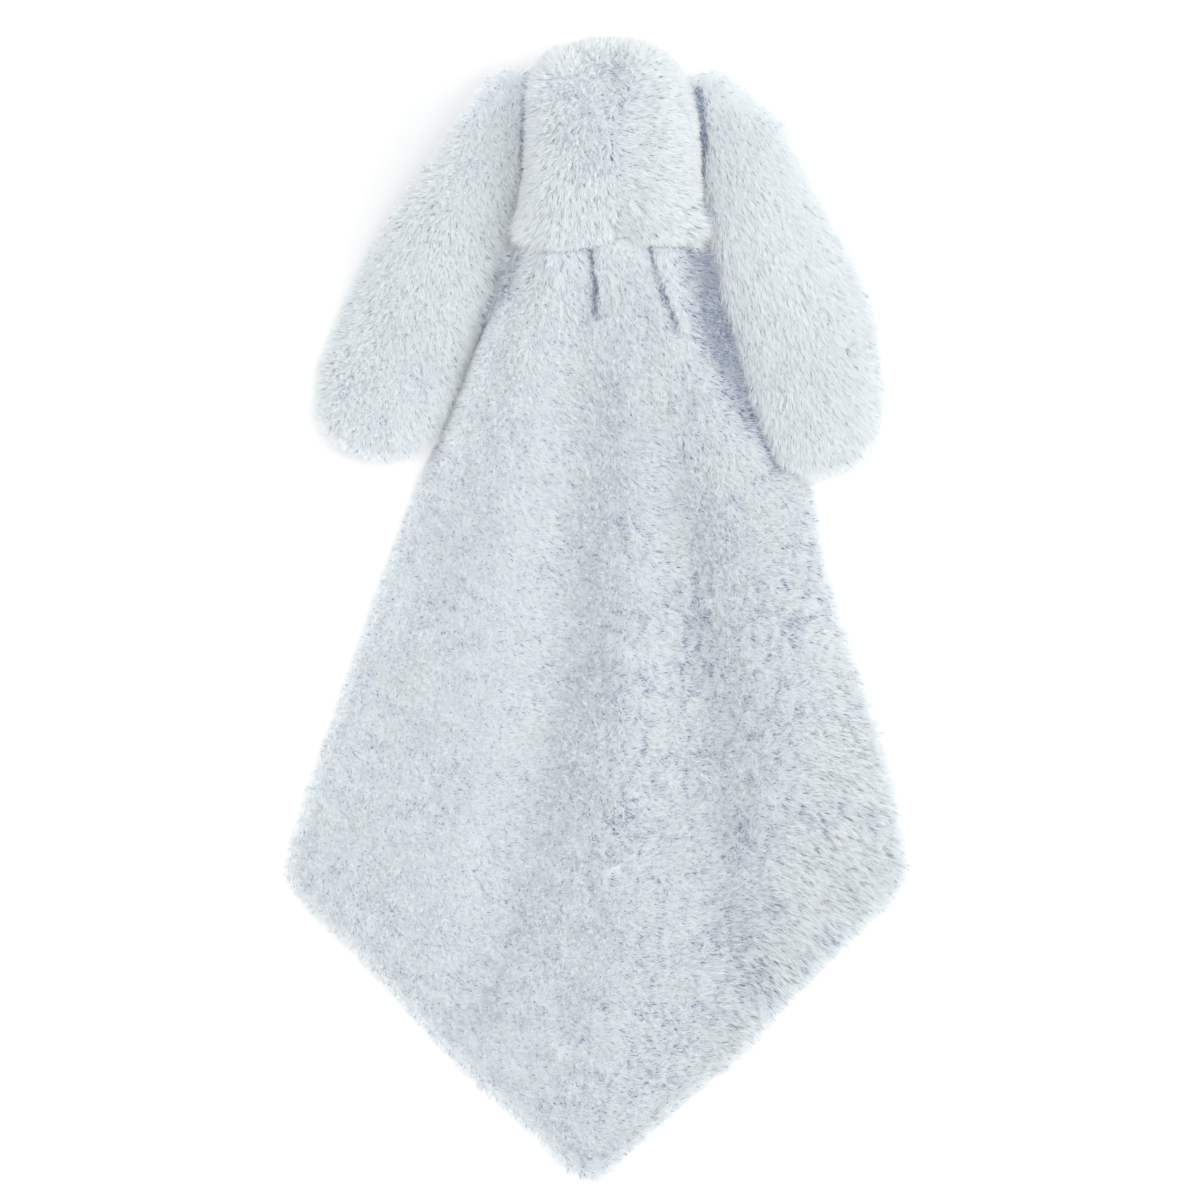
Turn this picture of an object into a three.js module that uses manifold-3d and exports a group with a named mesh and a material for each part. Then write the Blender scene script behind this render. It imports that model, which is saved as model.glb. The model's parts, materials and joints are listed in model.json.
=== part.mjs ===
// Plush bunny comforter: a stuffed head with two lop ears, sewn to the gathered corner of a small blanket.
// It lies on its front with its back up. X is to the right, Y towards the crown and Z up, in millimetres.
// The origin is on the underside of the blanket's lining, on its middle line.
import * as THREE from "three";
import { mergeVertices } from "three/addons/utils/BufferGeometryUtils.js";
import Module from "manifold-3d";

const wasm = await Module();
wasm.setup();

// Cloth and seams
const plushThickness = 6; // knitted backing and pile together
const satinThickness = 0.8;
const seamGap = 0.3; // between two pieces that are sewn together
const layerGap = 0.5; // between plush and lining
const edgeShare = 0.45; // thickness left where the pile rolls over at a sewn edge
const edgeFullness = 12; // how late the cloth thins towards its edges

// Head, measured from the neck seam and from the floor
const neckY = 127; // neck seam from the origin
const headX = 6; // the head sits a little right of the blanket's middle line
const headWidth = 62;
const headHeight = 73; // neck seam to crown
const cheekHeight = 29; // neck seam to the widest level
const backDepth = 29; // widest level to the back of the head
const faceDepth = 24; // widest level to the face
const muzzleDepth = 7;
const muzzleHeight = 20; // neck seam to the middle of the muzzle
const muzzleSpread = 15;
const restFlat = 0.5; // how far the muzzle is pressed flat on the floor
const headRoundness = 2.8; // 2 is an ellipsoid, more is boxier
const crownTaper = 0.02; // narrowing from the cheeks to the crown
const neckSink = 30; // how far the back of the head drops towards the neck

// Head panels
const gussetWidth = 32; // at the crown
const gussetPoint = 43; // neck seam to the point of the gusset on the back of the head
const gussetNose = 14; // width of the gusset at the nose
const chinWidth = 30; // width of the chin panel at the neck
const noseHeight = 25; // neck seam to the seam between gusset and chin, under the nose
const crownOverrun = 6; // the gusset's outline is drawn this far past the crown
const neckPanelThickness = 1;

// Embroidery on the face
const stitchThickness = 0.8;
const eyeSpacing = 30;
const eyeHeight = 38; // neck seam to the middle of the eyes
const eyeWidth = 7;
const eyeLength = 8;
const noseWidth = 12;
const noseLength = 8;
const mouthWidth = 16;
const mouthDrop = 7; // nose to the corners of the mouth
const mouthStitch = 1.6; // width of the stitched line

// Ears, with places along the length as shares of it, from root to tip
const earLength = 140;
const earWidth = 51;
const earRootWidth = 20;
const earRootHeight = 55; // neck seam to the middle of the ear's root
const earRootRise = 4; // root above the widest level of the head
const earShoulder = 6; // rounding of the root's upper end
const earTuck = 3; // how far the root reaches under the head's seam
const earSeamGap = 0.8; // ear to head, so that the ear lifts clear
const earSideGap = 0.6; // ear to the side of the blanket that it lies along
const earInnerFull = 0.25; // where the inner edge comes to the blanket's side
const earOuterFull = 0.72; // where the ear reaches its full width
const earTipStart = 0.7; // where it narrows again
const earTipTaper = 0.1; // share of the width lost at the tip
const earTipBlunt = 0.04; // 0 is a half round tip, more is blunter
const earArch = 8; // crown of the ear across its width
const earArchFull = 0.4;
const earLies = 0.78; // where the drooping ear comes to lie flat
const earFloorGap = 0.4; // edges of the lying ear above the floor

// Blanket
const blanketWidth = 221; // corner to corner
const blanketLength = 331; // neck seam to the lower corner
const cornerDrop = 226; // neck seam to the side corners
const cornerRadius = 9;
const lowerCornerX = -2; // lower corner from the origin
const trimMargin = 0.2; // by which the outline that rounds the plush layer's corners clears its edges
const neckFlare = 10; // the gathered neck is this much wider than the head on each side
const pleatPitch = 21; // from one pleat to the next along the neck
const pleatShift = -8; // one pleat from the middle of the head
const pleatDepth = 5;
const pleatLength = 75;
const pleatSharpness = 0.7; // less is a narrower valley
const drapeLength = 110; // from the neck seam to where the plush layer lies flat
const foldCount = 3; // broad soft ridges across the blanket
const foldHeight = 4;
const foldShift = 0.13; // middle ridge, as a share of the half width
const foldStart = 0.05; // where the folds begin and are full, as shares of the way from neck to hem
const foldFull = 0.35;
const foldFade = 0.75; // where they begin to flatten out towards the hem

// Mesh fineness
const headSegments = 32;
const headRings = 20;
const earCellsAcross = 8;
const earCellsAlong = 16;
const blanketCellsAcross = 26;
const blanketCellsAlong = 20;
const cornerSteps = 5;
const weldDistance = 1e-4;
const beyond = 200; // cutting solids reach this far past the pieces

// Values worked out from the driving dimensions
const headMiddleY = neckY + cheekHeight;
const headRise = headHeight - cheekHeight;
const headMiddleZ = faceDepth + muzzleDepth - restFlat;
const crownY = neckY + headHeight;

// Cutting and joining

function solidOf(geometry) {
  const bare = geometry.clone();
  bare.deleteAttribute("normal");
  bare.deleteAttribute("uv");
  const merged = mergeVertices(bare, weldDistance);
  return new wasm.Manifold(
    new wasm.Mesh({
      numProp: 3,
      vertProperties: new Float32Array(merged.attributes.position.array),
      triVerts: new Uint32Array(merged.index.array),
    }),
  );
}

function geometryOf(solid) {
  const mesh = solid.getMesh();
  const geometry = new THREE.BufferGeometry();
  geometry.setAttribute("position", new THREE.BufferAttribute(mesh.vertProperties, 3));
  geometry.setIndex(new THREE.BufferAttribute(mesh.triVerts, 1));
  geometry.computeVertexNormals();
  return geometry;
}

function slab(low, high) {
  const size = high.clone().sub(low);
  const box = new THREE.BoxGeometry(size.x, size.y, size.z);
  box.translate((low.x + high.x) / 2, (low.y + high.y) / 2, (low.z + high.z) / 2);
  return solidOf(box);
}

function prism(shape, lowZ, highZ) {
  const geometry = new THREE.ExtrudeGeometry(shape, {
    depth: highZ - lowZ,
    bevelEnabled: false,
    curveSegments: cornerSteps * 2,
  });
  geometry.translate(0, 0, lowZ);
  return solidOf(geometry);
}

function outlineOf(corners) {
  return new THREE.Shape(corners.map(([x, y]) => new THREE.Vector2(x, y)));
}

// A box of cells, two wide and one long, bent into a cloth layer.
// place(u, v, w) has u from -1 to 1 across, v from 0 at the sewn end to 1, and w 0 below and 1 on top.
function clothLayer(cellsAcross, cellsAlong, place) {
  const box = new THREE.BoxGeometry(2, 1, 1, cellsAcross, cellsAlong, 1);
  const position = box.attributes.position;
  for (let i = 0; i < position.count; i++) {
    const point = place(position.getX(i), 0.5 - position.getY(i), position.getZ(i) + 0.5);
    position.setXYZ(i, point.x, point.y, point.z);
  }
  return box;
}

// Share of the thickness at u, which runs from -1 to 1 between two edges.
function edgeRoll(u) {
  return edgeShare + (1 - edgeShare) * Math.sqrt(1 - u ** edgeFullness);
}

// Head

function headHalfWidth(y) {
  const level = (y - headMiddleY) / headRise;
  const round = 1 - Math.abs(level) ** headRoundness;
  return (headWidth / 2) * (1 - crownTaper * level) * round ** (1 / headRoundness);
}

function headSinkAt(y) {
  const below = Math.max(0, (headMiddleY - y) / headRise);
  return neckSink * below * below;
}

function headTop(y) {
  const level = Math.abs(y - headMiddleY) / headRise;
  return headMiddleZ + backDepth * (1 - level ** headRoundness) ** (1 / headRoundness) - headSinkAt(y);
}

// The head's outer form moved in by inset, or out where inset is negative.
function headForm(inset) {
  const sphere = new THREE.SphereGeometry(1, headSegments, headRings);
  const position = sphere.attributes.position;
  const half = new THREE.Vector3(headWidth / 2 - inset, headRise - inset, 0);
  const along = new THREE.Vector3();
  for (let i = 0; i < position.count; i++) {
    along.fromBufferAttribute(position, i);
    half.z = (along.z > 0 ? backDepth : faceDepth) - inset;
    const sum =
      Math.abs(along.x) ** headRoundness +
      Math.abs(along.y) ** headRoundness +
      Math.abs(along.z) ** headRoundness;
    const point = along.clone().divideScalar(sum ** (1 / headRoundness)).multiply(half);
    const level = point.y / headRise;
    const y = headMiddleY + point.y;
    const fromMuzzle = Math.hypot(point.x, y - neckY - muzzleHeight) / muzzleSpread;
    const muzzle = along.z < 0 ? muzzleDepth * Math.exp(-fromMuzzle * fromMuzzle) * -along.z : 0;
    position.setXYZ(
      i,
      headX + point.x * (1 - crownTaper * level),
      y,
      headMiddleZ + point.z - headSinkAt(y) * Math.max(0, along.z) - muzzle,
    );
  }
  return solidOf(sphere);
}

function aboveNeck(height) {
  const low = new THREE.Vector3(headX - beyond, neckY + height, 0);
  const high = new THREE.Vector3(headX + beyond, crownY + beyond, beyond);
  return slab(low, high);
}

// Cutter of the gusset: a strip over the face and crown that ends in a point on the back.
function gussetCutter(margin) {
  const half = gussetWidth / 2 + margin;
  const nose = gussetNose / 2 + margin;
  const pointMargin = margin * Math.hypot(1, (2 * (headHeight - gussetPoint)) / gussetWidth);
  const over = crownY + crownOverrun;
  const back = outlineOf([
    [headX, neckY + gussetPoint - pointMargin],
    [headX + half, over],
    [headX - half, over],
  ]);
  const face = outlineOf([
    [headX - nose, neckY + noseHeight - margin],
    [headX + nose, neckY + noseHeight - margin],
    [headX + half, over],
    [headX - half, over],
  ]);
  return prism(back, headMiddleZ, beyond).add(prism(face, -beyond, headMiddleZ + seamGap));
}

function chinCutter(margin) {
  const nose = gussetNose / 2 + margin;
  const neck = chinWidth / 2 + margin;
  const chin = outlineOf([
    [headX - neck, neckY - seamGap],
    [headX + neck, neckY - seamGap],
    [headX + nose, neckY + noseHeight - seamGap + margin],
    [headX - nose, neckY + noseHeight - seamGap + margin],
  ]);
  return prism(chin, -beyond, headMiddleZ);
}

function sideOf(side) {
  const low = new THREE.Vector3(headX + seamGap / 2, neckY - beyond, -beyond);
  const high = new THREE.Vector3(headX + beyond, crownY + beyond, beyond);
  if (side < 0) {
    low.x = headX - beyond;
    high.x = headX - seamGap / 2;
  }
  return slab(low, high);
}

const headOuter = headForm(0).intersect(aboveNeck(0));
const headShell = headOuter.subtract(headForm(plushThickness));
const headInside = headForm(plushThickness + seamGap);
const gussetSolid = headShell.intersect(gussetCutter(0));
const chinSolid = headShell.intersect(chinCutter(0));
const sidesSolid = headShell.subtract(gussetCutter(seamGap)).subtract(chinCutter(seamGap));
const neckPanelSolid = headInside.intersect(aboveNeck(0)).subtract(aboveNeck(neckPanelThickness));
const stuffingSolid = headInside.intersect(aboveNeck(neckPanelThickness + seamGap));

// Embroidery: a thin layer over the face, cut to an outline

const stitchLayer = headForm(-seamGap - stitchThickness)
  .subtract(headForm(-seamGap))
  .intersect(aboveNeck(0));

function stitched(shape) {
  return stitchLayer.intersect(prism(shape, 0, headMiddleZ));
}

function eyeShape(side) {
  const shape = new THREE.Shape();
  const middle = headX + (side * eyeSpacing) / 2;
  shape.absellipse(middle, neckY + eyeHeight, eyeWidth / 2, eyeLength / 2, 0, 2 * Math.PI);
  return shape;
}

const noseLow = neckY + noseHeight - noseLength / 2;
const noseTop = noseLow + noseLength;

function noseShape() {
  const shape = new THREE.Shape();
  shape.moveTo(headX, noseLow);
  shape.quadraticCurveTo(headX + noseWidth / 2, noseTop - noseLength / 2, headX + noseWidth / 2, noseTop);
  shape.lineTo(headX - noseWidth / 2, noseTop);
  shape.quadraticCurveTo(headX - noseWidth / 2, noseTop - noseLength / 2, headX, noseLow);
  return shape;
}

// A smile below the nose, with a short stem up to it.
function mouthShape() {
  const top = noseLow - seamGap;
  const stem = top - mouthDrop / 2;
  const low = top - mouthDrop;
  const half = mouthWidth / 2;
  const line = mouthStitch / 2;
  const shape = new THREE.Shape();
  shape.moveTo(headX - line, top);
  shape.lineTo(headX - line, stem);
  shape.quadraticCurveTo(headX - half / 2, low + line, headX - half, low + 2 * line);
  shape.lineTo(headX - half, low);
  shape.quadraticCurveTo(headX - half / 2, low - 2 * line, headX, stem - 2 * line);
  shape.quadraticCurveTo(headX + half / 2, low - 2 * line, headX + half, low);
  shape.lineTo(headX + half, low + 2 * line);
  shape.quadraticCurveTo(headX + half / 2, low + line, headX + line, stem);
  shape.lineTo(headX + line, top);
  return shape;
}

// Ears: each lies from its root on the head down to the floor, arched across

const neckHalf = headHalfWidth(neckY) + neckFlare;
const earRootZ = headMiddleZ + earRootRise;
const earRootY = neckY + earRootHeight;

function earRootX(side) {
  return headX + side * (headHalfWidth(earRootY) + earRootWidth / 2 - earTuck);
}

// The ears lie along the sides of the blanket, turned with them.
function earSplay(side) {
  return Math.atan2(blanketWidth / 2 - side * headX - neckHalf, cornerDrop);
}

// From the middle of the ear's root in to the edge that lies along the blanket.
function earInnerReach(side) {
  const out = side * (earRootX(side) - headX) - neckHalf;
  const splay = earSplay(side);
  return out * Math.cos(splay) + earRootHeight * Math.sin(splay) - earSideGap;
}

function earPlacement(side) {
  const group = new THREE.Group();
  group.position.set(earRootX(side), earRootY, 0);
  group.rotation.z = side * earSplay(side);
  group.updateMatrix();
  return group;
}

// Point of the ear in its own frame, root at the origin and tip along -Y; lift is its height in the ear.
function earPoint(side, u, v, lift) {
  const { lerp, smoothstep, mapLinear } = THREE.MathUtils;
  const across = side * u; // -1 on the inner edge, 1 on the outer edge
  const reach = earInnerReach(side);
  const inner = lerp(earRootWidth / 2, reach, smoothstep(v, 0, earInnerFull));
  const widening = Math.sin((Math.PI / 2) * Math.min(1, v / earOuterFull));
  const outer = lerp(earRootWidth / 2, earWidth - reach, widening);
  const taper = 1 - earTipTaper * smoothstep(v, earTipStart, 1);
  const x = side * taper * mapLinear(across, -1, 1, -inner, outer);
  const roundEnd = Math.sqrt(1 - (1 - earTipBlunt) * across * across);
  const tip = (earWidth / 2) * (1 - roundEnd) * v ** 3;
  const shoulder = earShoulder * roundEnd * (1 - v) ** 6;
  const droop = 1 - smoothstep(v, 0, earLies);
  const rise = earRootZ - satinThickness - plushThickness / 2 - earFloorGap;
  const arch = earArch * (1 - across * across) * smoothstep(v, 0, earArchFull);
  return new THREE.Vector3(x, shoulder + tip - earLength * v, earFloorGap + rise * droop + arch + lift);
}

function earLayer(side, low, thickness) {
  const place = (u, v, w) => {
    const edge = edgeRoll(u) * edgeRoll(2 * v - 1);
    return earPoint(side, u, v, low + w * thickness * edge);
  };
  const layer = clothLayer(earCellsAcross, earCellsAlong, place);
  const toEar = earPlacement(side).matrix.clone().invert();
  const headAround = geometryOf(headForm(-earSeamGap)).applyMatrix4(toEar);
  return solidOf(layer).subtract(solidOf(headAround));
}

// Blanket: straight lines fan out from the gathered neck to the hem, and the folds follow them

const liningTop = satinThickness + layerGap;
const neckEdgeY = neckY - seamGap;
const sideY = neckY - cornerDrop;
const lowY = neckY - blanketLength;

// Kite with rounded corners, drawn margin wider all round
function blanketOutline(margin) {
  const corners = [
    [headX - neckHalf - margin, neckEdgeY + margin],
    [-blanketWidth / 2 - margin, sideY],
    [lowerCornerX, lowY - margin],
    [blanketWidth / 2 + margin, sideY],
    [headX + neckHalf + margin, neckEdgeY + margin],
  ].map(([x, y]) => new THREE.Vector2(x, y));
  const shape = new THREE.Shape();
  shape.moveTo(corners[0].x, corners[0].y);
  for (let i = 1; i <= 3; i++) {
    const towards = (other) => other.clone().sub(corners[i]).setLength(cornerRadius).add(corners[i]);
    const before = towards(corners[i - 1]);
    const after = towards(corners[i + 1]);
    shape.lineTo(before.x, before.y);
    shape.quadraticCurveTo(corners[i].x, corners[i].y, after.x, after.y);
  }
  shape.lineTo(corners[4].x, corners[4].y);
  return shape;
}

// Height of the plush layer's underside: the drape from the neck, the pleats and the broad folds.
function plushUnderside(u, v, fromNeck) {
  const { smoothstep } = THREE.MathUtils;
  const edge = (1 - Math.abs(u) ** headRoundness) ** (1 / headRoundness);
  const neckRise = headTop(neckY) - plushThickness - liningTop;
  const drape = Math.max(0, 1 - fromNeck / drapeLength) ** 2;
  const pleatFade = Math.max(0, 1 - fromNeck / pleatLength) ** 1.5;
  const alongNeck = (u * neckHalf - pleatShift) / pleatPitch;
  const pleat = 1 - Math.abs(Math.sin(Math.PI * alongNeck)) ** pleatSharpness;
  const ridge = (1 + Math.cos(foldCount * Math.PI * (u - foldShift))) / 2;
  const fold = smoothstep(v, foldStart, foldFull) * (1 - smoothstep(v, foldFade, 1));
  const drawnIn = Math.min(pleatDepth * pleatFade * pleat, neckRise * edge * drape);
  return liningTop + edge * (neckRise * drape + foldHeight * ridge * fold) - drawnIn;
}

function blanketPlush() {
  const place = (u, v, w) => {
    const hemX = (u * blanketWidth) / 2 + lowerCornerX * (1 - Math.abs(u));
    const hem = new THREE.Vector2(hemX, lowY + Math.abs(u) * (sideY - lowY));
    const neck = new THREE.Vector2(headX + u * neckHalf, neckEdgeY);
    const plan = neck.clone().lerp(hem, v);
    const edge = edgeRoll(u) * edgeRoll(v);
    const z = plushUnderside(u, v, neck.distanceTo(plan)) + w * plushThickness * edge;
    return new THREE.Vector3(plan.x, plan.y, z);
  };
  const layer = clothLayer(blanketCellsAcross, blanketCellsAlong, place);
  return solidOf(layer).intersect(prism(blanketOutline(trimMargin), 0, beyond));
}

// Assembly

const plush = new THREE.MeshStandardMaterial({ color: 0xd2dee6, roughness: 0.95, metalness: 0 });
const satin = new THREE.MeshStandardMaterial({ color: 0xcfdde8, roughness: 0.4, metalness: 0 });
const fill = new THREE.MeshStandardMaterial({ color: 0xf2f2ef, roughness: 1, metalness: 0 });
const thread = new THREE.MeshStandardMaterial({ color: 0x5b5f68, roughness: 0.6, metalness: 0 });
const noseThread = new THREE.MeshStandardMaterial({ color: 0xd8a9ad, roughness: 0.6, metalness: 0 });

function piece(group, name, solid, material) {
  const mesh = new THREE.Mesh(geometryOf(solid), material);
  mesh.name = name;
  group.add(mesh);
}

const bunny = new THREE.Group();

const head = new THREE.Group();
bunny.add(head);
piece(head, "head_gusset", gussetSolid, plush);
piece(head, "head_side_left", sidesSolid.intersect(sideOf(-1)), plush);
piece(head, "head_side_right", sidesSolid.intersect(sideOf(1)), plush);
piece(head, "head_chin", chinSolid, plush);
piece(head, "neck_panel", neckPanelSolid, satin);
piece(head, "head_stuffing", stuffingSolid, fill);
piece(head, "eye_left", stitched(eyeShape(-1)), thread);
piece(head, "eye_right", stitched(eyeShape(1)), thread);
piece(head, "nose", stitched(noseShape()), noseThread);
piece(head, "mouth", stitched(mouthShape()), thread);

for (const [name, side] of [["ear_left", -1], ["ear_right", 1]]) {
  const ear = earPlacement(side);
  bunny.add(ear);
  piece(ear, name + "_lining", earLayer(side, 0, satinThickness), satin);
  piece(ear, name + "_plush", earLayer(side, satinThickness + layerGap, plushThickness), plush);
}

const blanket = new THREE.Group();
bunny.add(blanket);
piece(blanket, "blanket_plush", blanketPlush(), plush);
piece(blanket, "blanket_lining", prism(blanketOutline(0), 0, satinThickness), satin);

export default bunny;
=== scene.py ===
# Plush bunny comforter, lying on its front: long pile over sewn panels, satin lining, soft studio light
import bpy
import bmesh
import json
import math
import random
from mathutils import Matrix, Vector
from mathutils.bvhtree import BVHTree

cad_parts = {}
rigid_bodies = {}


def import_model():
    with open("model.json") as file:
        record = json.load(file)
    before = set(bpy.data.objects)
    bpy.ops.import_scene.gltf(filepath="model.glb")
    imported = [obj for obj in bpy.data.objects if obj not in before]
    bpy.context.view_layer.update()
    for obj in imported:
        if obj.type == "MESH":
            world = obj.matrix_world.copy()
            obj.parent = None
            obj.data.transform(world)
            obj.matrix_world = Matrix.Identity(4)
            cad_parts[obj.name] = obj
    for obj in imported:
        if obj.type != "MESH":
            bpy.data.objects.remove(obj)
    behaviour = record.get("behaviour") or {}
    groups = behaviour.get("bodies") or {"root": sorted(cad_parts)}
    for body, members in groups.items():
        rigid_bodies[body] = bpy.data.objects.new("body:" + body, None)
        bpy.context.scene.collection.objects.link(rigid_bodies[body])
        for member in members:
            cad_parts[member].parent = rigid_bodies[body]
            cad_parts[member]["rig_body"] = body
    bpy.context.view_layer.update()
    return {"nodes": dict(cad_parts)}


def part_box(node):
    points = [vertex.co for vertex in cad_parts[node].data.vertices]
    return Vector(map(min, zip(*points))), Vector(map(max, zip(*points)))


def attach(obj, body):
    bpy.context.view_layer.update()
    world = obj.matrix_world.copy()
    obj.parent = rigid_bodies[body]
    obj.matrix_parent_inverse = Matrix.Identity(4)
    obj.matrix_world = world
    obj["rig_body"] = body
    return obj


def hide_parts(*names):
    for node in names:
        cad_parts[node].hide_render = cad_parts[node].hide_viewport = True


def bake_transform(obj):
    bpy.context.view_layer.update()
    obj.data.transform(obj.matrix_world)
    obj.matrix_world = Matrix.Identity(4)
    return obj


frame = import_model()
scene = bpy.context.scene
mm = 0.001
print("frame loaded:", len(frame["nodes"]), "nodes")


# camera: straight above, framed as the photograph is
camera = {
    "pixels": 1200,
    "pixelSize": 0.36 * mm,
    "originPixel": (595, 602),  # where the origin lies in the photograph
    "height": 1.9,
    "sensor": 36,
    "level": 0.015,  # height that is shown at the pixel size above
}


def addCamera(c):
    data = bpy.data.cameras.new("camera")
    data.sensor_width = c["sensor"]
    wide = c["pixels"] * c["pixelSize"]
    data.lens = c["sensor"] * (c["height"] - c["level"]) / wide
    eye = bpy.data.objects.new("camera", data)
    half = c["pixels"] / 2
    eye.location.x = (half - c["originPixel"][0]) * c["pixelSize"]
    eye.location.y = (c["originPixel"][1] - half) * c["pixelSize"]
    eye.location.z = c["height"]
    scene.collection.objects.link(eye)
    scene.camera = eye


addCamera(camera)


# small helpers
# each input is a value, or what comes out of another node
def setInputs(tree, node, inputs):
    for name, value in inputs.items():
        if isinstance(value, bpy.types.NodeSocket):
            tree.links.new(value, node.inputs[name])
        else:
            node.inputs[name].default_value = value


def addNode(tree, kind, inputs=None, **settings):
    node = tree.nodes.new(kind)
    for name, value in settings.items():
        setattr(node, name, value)
    setInputs(tree, node, inputs or {})
    return node


def number(tree, operation, first, second):
    return addNode(tree, "ShaderNodeMath", {0: first, 1: second}, operation=operation).outputs["Value"]


def ranged(tree, value, fromRange, toRange):
    node = addNode(tree, "ShaderNodeMapRange", {
        "Value": value,
        "From Min": fromRange[0],
        "From Max": fromRange[1],
        "To Min": toRange[0],
        "To Max": toRange[1],
    })
    return node.outputs["Result"]


def newMaterial(name):
    material = bpy.data.materials.new(name)
    material.use_nodes = True
    tree = material.node_tree
    return material, tree, tree.nodes["Principled BSDF"]


def newPiece(name, mesh):
    piece = bpy.data.objects.new(name, mesh)
    scene.collection.objects.link(piece)
    return piece


def ease(value, low, high):
    t = min(1, max(0, (value - low) / (high - low)))
    return t * t * (3 - 2 * t)


def blendBetween(low, high, share):
    return low + (high - low) * share


# a hill of height 1 over its middle
def hill(value, middle, spread):
    return math.exp(-((value - middle) / spread) ** 2)


# lengths, and points of the plan, given in millimetres
def spanMm(*lengths):
    return tuple(length * mm for length in lengths)


def inMm(points):
    return [spanMm(*point) for point in points]


# a texture that reads the object's own coordinates
def addTexture(tree, kind, inputs, **settings):
    place = addNode(tree, "ShaderNodeTexCoord").outputs["Object"]
    return addNode(tree, kind, dict(inputs, Vector=place), **settings)


def addRamp(tree, value, first, second):
    ramp = addNode(tree, "ShaderNodeValToRGB", {"Fac": value})
    ramp.color_ramp.elements[0].color = first
    ramp.color_ramp.elements[1].color = second
    return ramp


def addBump(tree, height, relief, strength):
    return addNode(tree, "ShaderNodeBump", {"Height": height, "Distance": relief, "Strength": strength})


# colour and relief that both follow one value of a texture
def dress(tree, shader, value, first, second, look):
    setInputs(tree, shader, {
        "Base Color": addRamp(tree, value, first, second).outputs["Color"],
        "Normal": addBump(tree, value, look["relief"], look["bump"]).outputs["Normal"],
        "Roughness": look["roughness"],
    })


def setSurface(tree, shader):
    setInputs(tree, tree.nodes["Material Output"], {"Surface": shader.outputs["Shader"]})


# plush pile: each strand's map holds its tone across and its rise from root to tip; low tones mix
# towards the painted shade colour
pileLook = {
    # the roots a little darker and bluer than the tips: painted shade deep in the pile
    "root": (0.945, 0.978, 0.993, 1),
    "low": (0.962, 0.987, 0.995, 1),
    "tip": (0.974, 0.992, 0.996, 1),
    "lowRise": 0.4,
    "shadeColour": (0.24, 0.30, 0.47, 1),  # painted shade: the colour of the dark strands where the pile parts
    "fullTone": 0.76,
    "roughness": 0.8,
    "sheen": 0.3,
    "specular": 0.2,
    "through": 0.5,  # share of the light that fine fibres let through
}


def pileMaterial(look):
    material, tree, shader = newMaterial("plush_pile")
    strandMap = addNode(tree, "ShaderNodeUVMap", uv_map="OFBake")
    strand = addNode(tree, "ShaderNodeSeparateXYZ", {"Vector": strandMap.outputs["UV"]})
    ramp = addRamp(tree, strand.outputs["Y"], look["root"], look["tip"])
    ramp.color_ramp.elements.new(look["lowRise"]).color = look["low"]
    tone = ranged(tree, strand.outputs["X"], (0, look["fullTone"]), (0, 1))
    shades = {"Factor": tone, "A": look["shadeColour"], "B": ramp.outputs["Color"]}
    shade = addNode(tree, "ShaderNodeMix", shades, data_type="RGBA")
    setInputs(tree, shader, {
        "Base Color": shade.outputs["Result"],
        "Roughness": look["roughness"],
        "Sheen Weight": look["sheen"],
        "Specular IOR Level": look["specular"],
    })
    through = addNode(tree, "ShaderNodeBsdfTranslucent", {"Color": shade.outputs["Result"]})
    shaders = {"Fac": look["through"], 1: shader.outputs["BSDF"], 2: through.outputs["BSDF"]}
    setSurface(tree, addNode(tree, "ShaderNodeMixShader", shaders))
    return material


# knitted backing under the pile, darker and bluer than the pile: painted shade where it shows between
# the locks
backingLook = {
    "dark": (0.82, 0.88, 0.94, 1),
    "light": (0.92, 0.955, 0.98, 1),
    "loops": 900,  # knitted loops in a metre
    "relief": 0.3 * mm,
    "bump": 0.5,
    "roughness": 0.9,
}


def backingMaterial(look):
    material, tree, shader = newMaterial("plush_backing")
    knit = addTexture(tree, "ShaderNodeTexVoronoi", {"Scale": look["loops"]})
    dress(tree, shader, knit.outputs["Distance"], look["light"], look["dark"], look)
    return material


wavesPerScale = 3  # waves in a metre at a texture scale of 1

# satin: fine twill ribs that catch the light, with soft puckers; its colour is lighter on the puckers'
# ridges and darker in their hollows, painted sheen and shade
satinLook = {
    "light": (0.82, 0.90, 0.96, 1),
    "dark": (0.64, 0.76, 0.88, 1),
    "ribs": 700,  # ribs in a metre
    "ribWander": 0.6,
    "ribRelief": 0.05 * mm,
    "ribBump": 0.6,
    "pucker": 45,  # puckers in a metre
    "puckerDetail": 2,
    "puckerRelief": 3 * mm,
    "puckerBump": 0.5,
    "roughness": (0.28, 0.44),  # in the hollows and on the ridges of the puckers
    "sheen": 0.25,
}


def satinMaterial(look):
    material, tree, shader = newMaterial("satin_lining")
    ribValues = {"Scale": look["ribs"] / wavesPerScale, "Distortion": look["ribWander"]}
    ribs = addTexture(tree, "ShaderNodeTexWave", ribValues, bands_direction="DIAGONAL")
    foldValues = {"Scale": look["pucker"], "Detail": look["puckerDetail"]}
    folds = addTexture(tree, "ShaderNodeTexNoise", foldValues)
    ramp = addRamp(tree, folds.outputs["Fac"], look["dark"], look["light"])
    broad = addBump(tree, folds.outputs["Fac"], look["puckerRelief"], look["puckerBump"])
    fine = addBump(tree, ribs.outputs["Fac"], look["ribRelief"], look["ribBump"])
    setInputs(tree, fine, {"Normal": broad.outputs["Normal"]})
    setInputs(tree, shader, {
        "Base Color": ramp.outputs["Color"],
        "Normal": fine.outputs["Normal"],
        "Roughness": ranged(tree, folds.outputs["Fac"], (0, 1), look["roughness"]),
        "Sheen Weight": look["sheen"],
    })
    return material


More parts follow.
